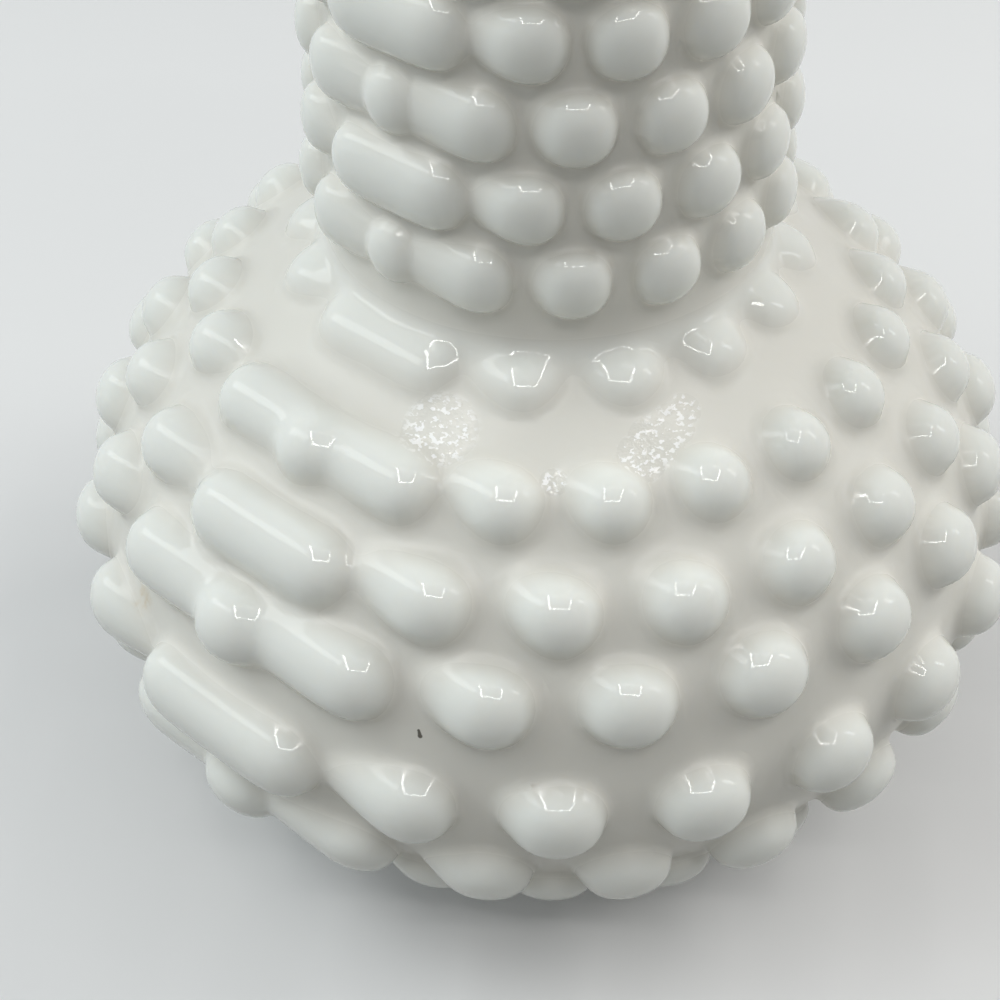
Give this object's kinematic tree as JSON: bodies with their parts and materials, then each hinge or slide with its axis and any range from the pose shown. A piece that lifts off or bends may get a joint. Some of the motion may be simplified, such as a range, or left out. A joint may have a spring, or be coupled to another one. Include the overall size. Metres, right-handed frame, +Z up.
{
  "type": "bud vase",
  "caption": "Hobnail bud vase in opal glass with a round squat bowl, a cylindrical studded neck, a plain turned-out lip and a flat standing foot.",
  "frame": {"origin": "middle of the face that the vase stands on", "axes": "+Z up along the vase's axis, +X towards one mould seam, +Y along the way that the mould halves part"},
  "size_m": [0.1144, 0.1154, 0.1644],
  "materials": {
    "opal_glass": "fire-polished gloss, opaque white"
  },
  "bodies": {
    "root": {"foot": "opal_glass", "bowl": "opal_glass", "neck": "opal_glass", "lip": "opal_glass"}
  },
  "joints": []
}
